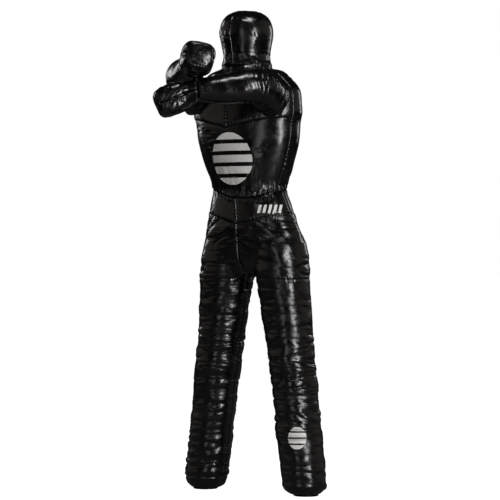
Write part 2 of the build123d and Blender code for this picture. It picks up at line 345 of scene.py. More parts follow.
HEAD_MIDDLE = 1.665      # where the rows of the head stop rising and start to tip up
low_rows = np.linspace(1.569, HEAD_MIDDLE, 44)
top_rises = np.linspace(0, math.radians(89.9), 64)[1:]
head_x = joints["neck_nod"][0]
head_centres = [(head_x, BODY_Y, z) for z in low_rows]
head_centres += [(head_x - 0.001, BODY_Y, HEAD_MIDDLE)] * len(top_rises)
head_rises = [0.0] * len(low_rows) + list(top_rises)
target = ray_target("head_left_panel", "head_right_panel")
radii = limb(target, head_centres, head_rises)
crown_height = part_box("head_left_panel")[1].z - HEAD_MIDDLE
steep = np.sin(np.maximum(head_rises, 1e-6))[:, None]
radii = np.where(radii * steep > crown_height, crown_height / steep, radii)
for i in range(len(head_rises)):
    if head_rises[i] > 1.2:                 # the plain top of the covers is level there
        radii[i] = crown_height / steep[i]
radii = soften(radii[..., None], 6)[..., 0]
head_keys = list(low_rows) + [HEAD_MIDDLE + 0.1 * float(r) for r in top_rises]
head = Limb(head_keys, head_centres, head_rises, radii)
print("head", radii.shape)

legs = {}
HIP = joints["left_hip_bend"]
KNEE = joints["left_knee_bend"]
LEAN = (KNEE[0] - HIP[0]) / (HIP[2] - KNEE[2])
for side, sign in (("left", 1), ("right", -1)):
    heights = np.concatenate([np.linspace(0.0051, 0.04, 12), np.linspace(0.046, 1.06, 180)])
    centres = [(sign * (HIP[0] + LEAN * (HIP[2] - z)), BODY_Y, z) for z in heights]
    target = ray_target(
        *[f"{side}_{part}_{face}_panel" for part in ("hip", "leg") for face in ("front", "back")],
        f"yoke_front_{side}_panel", f"yoke_back_{side}_panel",
    )
    radii = limb(target, centres, [0] * len(heights), wall=sign)
    legs[side] = Limb(heights, centres, [0] * len(heights), soften(radii[..., None], 3)[..., 0])
    print(side, "leg", radii.shape, "radius at the knee", round(float(np.median(radii[90])), 3))

# %% [markdown]
# ## Panels, seams and puckers
# A panel is cut from a limb between two turns and two heights. Its edges are turned in towards the
# stuffing, as on a sewn seam, so two neighbours meet in a groove. Beside the groove the leather
# crowns up, and the thread draws small puckers square to the seam. Each panel carries its own
# distance from every edge, and these three shapes are made from that.

# %% The grid of a panel, and its distances
class Patch:
    """A grid of points with outward directions and distances from its edges, in metres."""

    def __init__(self, points, closed=False, centre=None):
        self.p = points
        self.closed = closed
        self.measure(centre)

    def measure(self, centre=None):
        p = self.p
        if self.closed:
            across = np.roll(p, -1, 1) - np.roll(p, 1, 1)
        else:
            across = np.gradient(p, axis=1)
        down = np.gradient(p, axis=0)
        n = np.cross(across, down)
        length = np.linalg.norm(n, axis=2, keepdims=True)
        n = n / np.maximum(length, 1e-12)
        middle = p.mean((0, 1)) if centre is None else np.array(centre)
        if (n * (p - middle)).sum() < 0:
            n = -n
        self.n = n
        d = np.linalg.norm(np.diff(p, axis=0), axis=2)
        self.top = np.concatenate([np.zeros((1, p.shape[1])), np.cumsum(d, 0)], 0)
        self.bottom = self.top[-1:] - self.top
        d = np.linalg.norm(np.diff(p, axis=1), axis=2)
        self.first = np.concatenate([np.zeros((p.shape[0], 1)), np.cumsum(d, 1)], 1)
        self.last = self.first[:, -1:] - self.first

    def push(self, height):
        """Moves the points outwards by a height in metres."""
        self.p = self.p + self.n * height[..., None]
        return self


def cut_panel(surface, turn_a, turn_b, z_top, z_bottom, pitch=0.003, closed=False):
    """A panel between two turns and two heights, each a number or a function of the other one."""
    def call(f, x):
        return f(x) if callable(f) else np.full_like(x, float(f))

    probe_u = np.linspace(0, 1, 40)
    halfway = np.array([surface.heights.mean()])
    a, b = call(turn_a, halfway)[0], call(turn_b, halfway)[0]
    t = a + (b - a) * probe_u
    tops, bottoms = call(z_top, t), call(z_bottom, t)
    middle = (tops + bottoms) / 2
    line = surface.at(t, middle)
    width = np.linalg.norm(np.diff(line, axis=0), axis=1).sum()
    columns = max(8, int(width / pitch))
    mid_turn = np.full(200, (a + b) / 2)
    z_line = np.linspace(float(tops[20]), float(bottoms[20]), 200)
    line = surface.at(mid_turn, z_line)
    walk = np.concatenate([[0], np.cumsum(np.linalg.norm(np.diff(line, axis=0), axis=1))])
    rows = max(8, int(walk[-1] / pitch))
    v = np.interp(np.linspace(0, walk[-1], rows), walk, np.linspace(0, 1, 200))[:, None]
    u = np.linspace(0, 1, columns + 1)[:-1] if closed else np.linspace(0, 1, columns)
    u = u[None, :] * np.ones((rows, 1))
    turn = a + (b - a) * u
    for _ in range(6):
        high = call(z_top, turn) * (1 - v) + call(z_bottom, turn) * v
        turn = call(turn_a, high) * (1 - u) + call(turn_b, high) * u
    patch = Patch(surface.at(turn, high), closed)
    patch.turn, patch.high = turn, high
    return patch


def groove(distance, deep=0.0015, wide=0.005, sharp=0.0012):
    """The height of a seam: a soft fall towards it and a narrow cleft at it."""
    return -deep * np.exp(-((distance / wide) ** 2)) - 0.55 * deep * np.exp(-((distance / sharp) ** 2))


def puckers(distance, along, points, pitch=0.014, tall=0.0016, reach=0.016, seed=0):
    """Small gathers square to a seam, uneven in pitch and in strength."""
    shift = noise(points, (0.06, 0.06, 0.06), seed) * 1.6
    strength = step(-0.5, 0.6, noise(points, (0.05, 0.05, 0.05), seed + 9))
    wave = np.cos(2 * np.pi * (along / pitch + shift))
    rise = (distance / 0.004) * np.exp(1 - distance / 0.004)     # nothing in the cleft itself
    return tall * (0.35 + strength) * wave * np.exp(-distance / reach) * np.clip(rise * 3, 0, 1)


# %% Turn a grid into a leather mesh
def leather_mesh(name, patch, material, flange=0.006, crown_pole=False):
    """A mesh from a patch. Its open edges turn inwards by flange, so that no gap shows at a seam."""
    p, n = patch.p, patch.n
    turn_in = [0.35, 0.7, 1.0]
    rows_above = [p[:1] - n[:1] * flange * t for t in reversed(turn_in)]
    rows_below = [p[-1:] - n[-1:] * flange * t for t in turn_in]
    if crown_pole:
        rows_below = []
    grid = np.concatenate(rows_above + [p] + rows_below, 0)
    flat = np.concatenate([n[:1]] * 3 + [n] + ([] if crown_pole else [n[-1:]] * 3), 0)
    if not patch.closed:
        left = [grid[:, :1] - flat[:, :1] * flange * t for t in reversed(turn_in)]
        right = [grid[:, -1:] - flat[:, -1:] * flange * t for t in turn_in]
        grid = np.concatenate(left + [grid] + right, 1)
    rows, columns = grid.shape[:2]
    index = np.arange(rows * columns).reshape(rows, columns)
    east = np.roll(index, -1, 1) if patch.closed else index[:, 1:]
    west = index if patch.closed else index[:, :-1]
    quads = np.stack([west[:-1], east[:-1], east[1:], west[1:]], -1).reshape(-1, 4)
    mesh = bpy.data.meshes.new(name)
    points = grid.reshape(-1, 3)
    a, b, c = points[quads[:, 0]], points[quads[:, 1]], points[quads[:, 3]]
    facing = np.cross(b - a, c - a)
    outward = flat if patch.closed else np.concatenate([flat[:, :1]] * 3 + [flat] + [flat[:, -1:]] * 3, 1)
    if (facing * outward.reshape(-1, 3)[quads[:, 0]]).sum() < 0:
        quads = quads[:, ::-1]
    mesh.from_pydata(points.tolist(), [], quads.tolist())
    mesh.polygons.foreach_set("use_smooth", [True] * len(mesh.polygons))
    mesh.materials.append(material)
    piece = bpy.data.objects.new(name, mesh)
    bpy.context.scene.collection.objects.link(piece)
    return piece


def stuffed(piece, nodes):
    """Hides the CAD nodes that a skin stands for, and prints its number of faces."""
    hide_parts(*nodes)
    print(piece.name, len(piece.data.polygons), "faces")
    return piece


# %% [markdown]
# ## Black leather
# The leather is split cowhide with a thick glossy black finish. Its grain is fine cells, and it
# breaks into short creases where it bends. The finish is almost a mirror on the tops and duller in
# the creases, and it is a little grey where it has been rubbed. All of that is made from noise on
# the object's own coordinates, because the skins have no unwrapped map.

# %% Leather material
def leather(name, crease_size, rough=(0.15, 0.27), tint=(0.0020, 0.0018, 0.0017), grain=0.10, crease=0.3):
    """Black leather whose fine creases run across the shortest side of crease_size, in metres."""
    material, nodes, links, shader = new_material(name)
    place = add_node(nodes, "ShaderNodeTexCoord").outputs["Object"]

    def stretched(size):
        node = add_node(nodes, "ShaderNodeMapping", {"vector_type": "POINT"}, Scale=[1 / s for s in size])
        links.new(place, node.inputs["Vector"])
        return node.outputs["Vector"]

    def noise_node(size, detail=3.0, distortion=0.0):
        node = add_node(nodes, "ShaderNodeTexNoise", Scale=1.0, Detail=detail, Distortion=distortion)
        links.new(stretched(size), node.inputs["Vector"])
        return node.outputs["Fac"]

    def ramp(value, low, high, result_low, result_high):
        node = map_range(nodes, From_Min=low, From_Max=high, To_Min=result_low, To_Max=result_high)
        links.new(value, node.inputs["Value"])
        return node.outputs["Result"]

    cells = add_node(nodes, "ShaderNodeTexVoronoi", {"feature": "DISTANCE_TO_EDGE"}, Scale=1.0)
    links.new(stretched((0.0016, 0.0016, 0.0016)), cells.inputs["Vector"])
    cell_height = ramp(cells.outputs["Distance"], 0.0, 0.25, 0.0, 1.0)
    fine = noise_node(crease_size, detail=5.0, distortion=0.6)
    ridge = add_node(nodes, "ShaderNodeMath", {"operation": "SUBTRACT"})
    ridge.inputs[1].default_value = 0.5
    links.new(fine, ridge.inputs[0])
    fold = add_node(nodes, "ShaderNodeMath", {"operation": "ABSOLUTE"})
    links.new(ridge.outputs[0], fold.inputs[0])
    fold_height = ramp(fold.outputs[0], 0.0, 0.11, 0.0, 1.0)
    patches = noise_node((0.05, 0.05, 0.05), detail=4.0)
    creased = add_node(nodes, "ShaderNodeMath", {"operation": "MULTIPLY"})
    links.new(fold_height, creased.inputs[0])
    links.new(ramp(patches, 0.36, 0.60, 0.25, 1.0), creased.inputs[1])

    first = add_node(nodes, "ShaderNodeBump", Strength=crease, Distance=0.0009)
    links.new(creased.outputs[0], first.inputs["Height"])
    second = add_node(nodes, "ShaderNodeBump", Strength=grain, Distance=0.00025)
    links.new(cell_height, second.inputs["Height"])
    links.new(first.outputs["Normal"], second.inputs["Normal"])
    links.new(second.outputs["Normal"], shader.inputs["Normal"])

    wear = add_node(nodes, "ShaderNodeMix", {"data_type": "RGBA"})
    wear.inputs["A"].default_value = (*tint, 1)
    wear.inputs["B"].default_value = (tint[0] * 3.0, tint[1] * 2.7, tint[2] * 2.6, 1)
    rubbed = noise_node((0.11, 0.11, 0.07), detail=6.0)
    links.new(ramp(rubbed, 0.50, 0.72, 0.0, 0.8), wear.inputs["Factor"])
    links.new(wear.outputs["Result"], shader.inputs["Base Color"])
    dull = noise_node((0.035, 0.035, 0.028), detail=5.0)
    links.new(ramp(dull, 0.35, 0.68, rough[0], rough[1]), shader.inputs["Roughness"])
    shader.inputs["IOR"].default_value = 1.5
    shader.inputs["Specular IOR Level"].default_value = 0.5
    shader.inputs["Coat Weight"].default_value = 0.15
    shader.inputs["Coat Roughness"].default_value = 0.16
    return material


smooth_leather = leather("black_leather", (0.016, 0.016, 0.016), crease=0.15)
leg_leather = leather("black_leather_legs", (0.040, 0.040, 0.009), crease=0.30)
arm_leather = leather("black_leather_arms", (0.014, 0.014, 0.014), crease=0.35)
print("leathers ready")

# %% [markdown]
# ## The torso
# The chest and back are packed tight, so they are smooth with broad soft lumps. The seam under the
# chest runs across the front and climbs to the sides. The waist is the narrowest and the most
# handled place, and its seam gathers the leather into upright folds above and below.

# %% Seam lines of the body
SIDE_FORWARD = 0.026                     # the side seams lie this far in front of the widest line


def left_side(z):
    """The turn of the left side seam at each height."""
    levels = [0.98, 1.10, 1.25, 1.37, 1.45, 1.50, 1.55, 1.57]
    half_widths = [0.19, 0.15, 0.198, 0.223, 0.228, 0.2, 0.14, 0.1]
    return -np.arcsin(SIDE_FORWARD / np.interp(z, levels, half_widths))


def right_side(z):
    return -np.pi - left_side(z)


def chest_line(turn):
    return 1.336 + 0.036 * np.abs(np.cos(turn))


def waist_line(turn):
    s = np.sin(turn)
    return 1.1185 + np.where(s < 0, 0.0345, 0.012) * s - 0.009 * np.cos(turn)


def yoke_line(surface):
    """The hip seam: low in front of the crotch and higher at the sides."""
    return lambda turn: 0.985 + 0.25 * np.abs(surface.at(turn, np.full_like(turn, 1.0))[..., 0])


def lumps(p, tall, size=0.11, seed=0):
    return tall * noise(p, (size, size, size), seed) + 0.4 * tall * noise(p, (size / 2.3,) * 3, seed + 3)


def seam_all(patch, pucker, reach, pitch, seed, deep=0.0013):
    """Grooves and puckers on the top, bottom, first and last edge, with four values for each."""
    h = np.zeros(patch.p.shape[:2])
    edges = [
        (patch.top, patch.first), (patch.bottom, patch.first),
        (patch.first, patch.top), (patch.last, patch.top),
    ]
    for k, (away, along) in enumerate(edges):
        h += groove(away, deep)
        h += puckers(away, along, patch.p, pitch[k], pucker[k], reach[k], seed + k)
    return h


TOP_OF_TORSO = 1.567
# the waist seam slopes down to the front
torso_panels = {
    "chest_left": (SEAM_FRONT, left_side, TOP_OF_TORSO, chest_line),
    "chest_right": (right_side, SEAM_FRONT, TOP_OF_TORSO, chest_line),
    "belly": (right_side, left_side, chest_line, waist_line),
    "back_left": (left_side, SEAM_BACK, TOP_OF_TORSO, waist_line),
    "back_right": (SEAM_BACK, lambda z: right_side(z) + 2 * np.pi, TOP_OF_TORSO, waist_line),
}
for number, (name, (a, b, top, bottom)) in enumerate(torso_panels.items()):
    patch = cut_panel(torso, a, b, top, bottom, pitch=0.003)
    p = patch.p
    h = lumps(p, 0.0022, 0.10, 11)
    low = name.startswith(("belly", "back"))
    h += seam_all(
        patch,
        pucker=(0.0009, 0.0030 if low else 0.0012, 0.0014, 0.0014),
        reach=(0.012, 0.030 if low else 0.014, 0.016, 0.016),
        pitch=(0.013, 0.019 if low else 0.013, 0.013, 0.013),
        seed=20 * number,
    )
    gather = step(0.14, 0.0, patch.p[..., 2] - 1.10)
    h += gather * 0.0035 * (creases(p, (0.024, 0.024, 0.075), 31) - 0.4)
    worked = step(0.1, 0.7, noise(p, (0.09, 0.09, 0.09), 5))
    h += 0.0012 * worked * (creases(p, (0.05, 0.05, 0.014), 37) - 0.4)
    throat = step(1.47, 1.55, p[..., 2])
    h += throat * 0.0024 * (creases(p, (0.06, 0.06, 0.013), 41) - 0.4)
    patch.push(h - 0.0005)
    piece = leather_mesh(f"{name}_skin", patch, smooth_leather)
    if low:
        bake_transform(piece)
    else:
        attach(piece, "torso")
    fills = {"belly": ["torso_fill"]}.get(name, [])
    stuffed(piece, [f"{name}_panel"] + fills)

yoke_panels = (
    ("yoke_front_left", SEAM_FRONT, 0.0), ("yoke_front_right", -math.pi, SEAM_FRONT),
    ("yoke_back_left", 0.0, SEAM_BACK), ("yoke_back_right", SEAM_BACK, math.pi),
)
for number, (name, a, b) in enumerate(yoke_panels):
    patch = cut_panel(torso, a, b, waist_line, yoke_line(torso), pitch=0.003)
    p = patch.p
    h = lumps(p, 0.0016, 0.08, 61)
    h += seam_all(
        patch,
        pucker=(0.0026, 0.0014, 0.001, 0.001),
        reach=(0.026, 0.014, 0.012, 0.012),
        pitch=(0.019, 0.013, 0.012, 0.012),
        seed=200 + 20 * number,
    )
    worked = step(0.0, 0.5, noise(p, (0.08, 0.08, 0.06), 8))
    h += 0.002 * worked * (creases(p, (0.04, 0.04, 0.018), 67) - 0.4)
    patch.push(h - 0.0005)
    piece = leather_mesh(f"{name}_skin", patch, smooth_leather)
    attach(piece, "pelvis")
    stuffed(piece, [f"{name}_panel"] + (["pelvis_fill"] if number == 0 else []))

# %% [markdown]
# ## The hood
# The head has no face. It is a hood of two halves with one thin seam over the middle, pulled over
# a round stuffed ball, with creases across the throat where it runs into the neck.

# %% Two halves of the hood
crown = head.heights[-1]
for side, a, b in (("left", SEAM_FRONT, SEAM_BACK), ("right", SEAM_BACK, SEAM_BACK + math.pi)):
    patch = cut_panel(head, a, b, head.heights[0], crown, pitch=0.0028)
    p = patch.p
    top_fade = step(0.0, 0.03, patch.bottom)
    h = lumps(p, 0.0018, 0.07, 71) * top_fade
    h += groove(patch.first, 0.0022, 0.004, 0.0012) + groove(patch.last, 0.0022, 0.004, 0.0012)
    h += top_fade * puckers(np.minimum(patch.first, patch.last), patch.top, p, 0.011, 0.0006, 0.01, 75)
    h += groove(patch.top, 0.0022, 0.006) + puckers(patch.top, patch.first, p, 0.014, 0.0014, 0.016, 76)
    throat = step(1.65, 1.585, p[..., 2])
    h += throat * 0.0032 * (creases(p, (0.07, 0.07, 0.016), 77) - 0.4)
    worked = top_fade * step(-0.3, 0.5, noise(p, (0.07, 0.07, 0.07), 79))
    h += 0.0026 * worked * (creases(p, (0.024, 0.024, 0.020), 81) - 0.4)
    patch.push(h - 0.0005)
    piece = leather_mesh(f"head_{side}_skin", patch, smooth_leather, crown_pole=True)
    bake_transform(piece)
    stuffed(piece, [f"head_{side}_panel"] + (["head_fill"] if side == "left" else []))

# %% [markdown]
# ## The legs
# Each leg is a long tube packed from the foot. The leather has settled on the stuffing in dense
# rings, like a sock that has slid down, and that is what breaks the light into short streaks.
# The hip piece is a separate panel round the top of the thigh, sewn to the tube below at the thigh seam.

# %% Hip panels and leg tubes
THIGH_SEAM = 0.786
LOWEST = 0.0056
ROUND_FOOT = 0.030       # how far the turned edge of a foot goes in
FOOT_EDGE = 0.048        # how high it starts
for side, sign in (("left", 1), ("right", -1)):
    surface = legs[side]
    start = 0.0 if sign < 0 else math.pi       # the seam runs down the inner side
    for part, top, bottom in (("hip", yoke_line(surface), THIGH_SEAM), ("leg", THIGH_SEAM, LOWEST)):
        patch = cut_panel(surface, start, start + 2 * math.pi, top, bottom, pitch=0.0027, closed=True)
        p = patch.p
        inner = np.minimum(patch.first, patch.last + 0.0027)
        rings = creases(p, (0.11, 0.11, 0.028), 101, bend=0.4)
        small = creases(p, (0.065, 0.065, 0.014), 103, bend=0.4)
        calm = step(-0.55, 0.35, noise(p, (0.16, 0.16, 0.13), 104))
        h = lumps(p, 0.0020, 0.10, 105)
        if part == "leg":
            h += (0.0018 + 0.0028 * calm) * (rings - 0.45) + (0.0005 + 0.0013 * calm) * (small - 0.45)
        else:
            near = step(0.90, 0.80, p[..., 2])
            h += (0.0014 + 0.0032 * near) * (rings - 0.45) + (0.0004 + 0.0010 * near) * (small - 0.45)
            slant = p + np.array([0, 0, 1.0]) * (p[..., :1] * sign * 0.5)
            h += 0.0024 * step(0.84, 0.93, p[..., 2]) * (creases(slant, (0.11, 0.11, 0.034), 107) - 0.45)
        h += groove(inner, 0.0022, 0.005, 0.0014) * (1 if part == "leg" else step(0.84, 0.80, p[..., 2]))
        h += puckers(inner, patch.top, p, 0.012, 0.0010, 0.012, 109) * (part == "leg")
        h += groove(patch.top, 0.0009, 0.005)
        h += puckers(patch.top, patch.first, p, 0.013, 0.0012, 0.016, 111)
        if part == "hip":
            h += groove(patch.bottom, 0.0008, 0.005)
            h += puckers(patch.bottom, patch.first, p, 0.013, 0.0006, 0.016, 113)
        else:
            h = h * step(0.0, 0.02, patch.bottom)
        q = np.clip(1 - patch.bottom / FOOT_EDGE, 0, 1) * (part == "leg")
        patch.push(h - 0.0005)
        low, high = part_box(f"{side}_sole")
        away = patch.p[..., :2] - np.array([(low.x + high.x) / 2, (low.y + high.y) / 2])
        away = away / np.linalg.norm(away, axis=-1, keepdims=True)
        patch.p[..., :2] -= away * (ROUND_FOOT * (1 - np.sqrt(1 - 0.98 * q * q)))[..., None]
        patch.p[..., 2] = np.maximum(patch.p[..., 2], 0.003)
        press = patch.p[..., 0] * sign < 0.0006
        patch.p[..., 0] = np.where((part == "hip") & press, sign * 0.0006, patch.p[..., 0])
        piece = leather_mesh(f"{side}_{part}_skin", patch, leg_leather)
        if part == "hip":
            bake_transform(piece)
            stuffed(piece, [f"{side}_hip_front_panel", f"{side}_hip_back_panel", f"{side}_thigh_fill"])
        else:
            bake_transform(piece)
            stuffed(piece, [f"{side}_leg_front_panel", f"{side}_leg_back_panel", f"{side}_shin_fill"])

# %% Soles
for side, sign in (("left", 1), ("right", -1)):
    low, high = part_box(f"{side}_sole")
    middle, radius = (low + high) / 2, (high.x - low.x) / 2 - ROUND_FOOT + 0.003
    profile = [                             # distance from the middle and height
        (0.001, 0.0052), (radius * 0.5, 0.0054), (radius - 0.006, 0.0055),
        (radius - 0.001, 0.0045), (radius, 0.003), (radius - 0.001, 0.0012),
        (radius - 0.004, 0.0), (radius * 0.5, 0.0), (0.001, 0.0),
    ]
    turns = np.linspace(0, 2 * np.pi, 145)[:-1]
    grid = np.array([
        [(middle.x + r * np.cos(t), middle.y + r * np.sin(t), z) for t in turns] for r, z in profile
    ])
    patch = Patch(grid, closed=True, centre=(middle.x, middle.y, 0.02))
    piece = leather_mesh(f"{side}_sole_skin", patch, smooth_leather, flange=0.0)
    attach(piece, f"{side}_shin")
    stuffed(piece, [f"{side}_sole"])

# %% [markdown]
# ## The arms
# Each arm is an upper tube sewn to a forearm tube at the elbow, and a boxy fist on a welted wrist.
# They reach forward and cross in front of the chest. The tubes follow one path from the shoulder to
# the fist, and each ring stands square to that path.

# %% The path of an arm
def unit(v):
    v = np.array(v, float)
    return v / np.linalg.norm(v)


FIST_WAY = {"left": unit((-0.634, -0.671, -0.385)), "right": unit((0.738, -0.650, 0.185))}
FIST_ROLL = {"left": math.radians(6), "right": math.radians(-13)}     # how each fist is turned on its arm


def rolled(way, roll):
    """Across and up of a ring square to a way, turned round it by roll."""
    across = unit(np.cross((0, 0, 1), way))
    up = np.cross(way, across)
    return across * math.cos(roll) + up * math.sin(roll), up * math.cos(roll) - across * math.sin(roll)


FIST = np.array([          # distance from the wrist, half width, half height, squareness
    (0.000, 0.038, 0.038, 2.0), (0.014, 0.041, 0.041, 2.1), (0.035, 0.051, 0.048, 2.5),
    (0.060, 0.058, 0.054, 3.0), (0.090, 0.060, 0.056, 3.4), (0.120, 0.058, 0.055, 3.4),
    (0.140, 0.052, 0.049, 3.2), (0.153, 0.045, 0.043, 3.0),
])
TUBE = np.array([          # distance from the elbow and the radius of the tube
    (-0.20, 0.060), (-0.12, 0.064), (-0.05, 0.068), (0.0, 0.068), (0.06, 0.063),
    (0.12, 0.056), (0.17, 0.049), (0.212, 0.042), (0.225, 0.0385),
])


def arm_joints(side):
    """The shoulder, elbow and wrist of an arm."""
    return [joints[f"{side}_{name}"] for name in ("shoulder_swing", "elbow_bend", "wrist_bend")]


def arm_frames(side, distances):
    """Centre, across, up and way of a ring at each distance from the elbow."""
    shoulder, elbow, wrist = arm_joints(side)
    way_in, way_out = unit(elbow - shoulder), unit(wrist - elbow)
    bend = 0.055                                    # the tube turns over this length each side
    frames = []
    for s in distances:
        if s < -bend:
            centre, way = elbow + way_in * s, way_in
        elif s > bend:
            centre, way = elbow + way_out * s, way_out
        else:
            t = (s + bend) / (2 * bend)
            a, c = elbow - way_in * bend, elbow + way_out * bend
            centre = (1 - t) ** 2 * a + 2 * t * (1 - t) * elbow + t * t * c
            way = unit((1 - t) * (elbow - a) + t * (c - elbow))
        centre = centre + np.array([0, 0, 0.011]) * np.exp(-((s - 0.01) / 0.075) ** 2)
        across = unit(np.cross((0, 0, 1), way))
        frames.append((centre, across, np.cross(way, across), way))
    return frames


def ring_grid(frames, sizes, around, start=0.0):
    """Rings of points round each frame, with half width, half height and squareness."""
    turns = start + 2 * np.pi * np.arange(around) / around
    c, s = np.cos(turns), np.sin(turns)
    rows = []
    for (centre, across, up, _), (w, d, square) in zip(frames, sizes):
        r = (np.abs(c / w) ** square + np.abs(s / d) ** square) ** (-1 / square)
        rows.append(centre + (r * c)[:, None] * across + (r * s)[:, None] * up)
    return np.array(rows)


def unit_rows(v, across, up):
    """The directions of some points in the plane of across and up."""
    flat = (v @ across)[..., None] * across + (v @ up)[..., None] * up
    return flat / np.maximum(np.linalg.norm(flat, axis=2, keepdims=True), 1e-9)


def rope_ring(name, centre, across, up, radius, thick, material, waves):
    """A rolled welt round a tube, a little uneven as sewn leather is."""
    turns = np.linspace(0, 2 * np.pi, 181)[:-1]
    away = np.cross(across, up)
    grid = []
    for k in range(18):
        q = 2 * np.pi * k / 18
        lump = 1 + 0.12 * np.cos(turns * waves + 0.7 * np.sin(3 * turns))
        r = radius + thick * np.cos(q) * lump
        flat = (r * np.cos(turns))[:, None] * across + (r * np.sin(turns))[:, None] * up
        grid.append(centre + flat + thick * np.sin(q) * away)
    grid = np.array(grid + [grid[0]])
    patch = Patch(grid, closed=True)
    outward = grid - (centre + unit_rows(grid - centre, across, up) * radius)
    patch.n = outward / np.maximum(np.linalg.norm(outward, axis=2, keepdims=True), 1e-9)
    return leather_mesh(name, patch, material, flange=0.0)


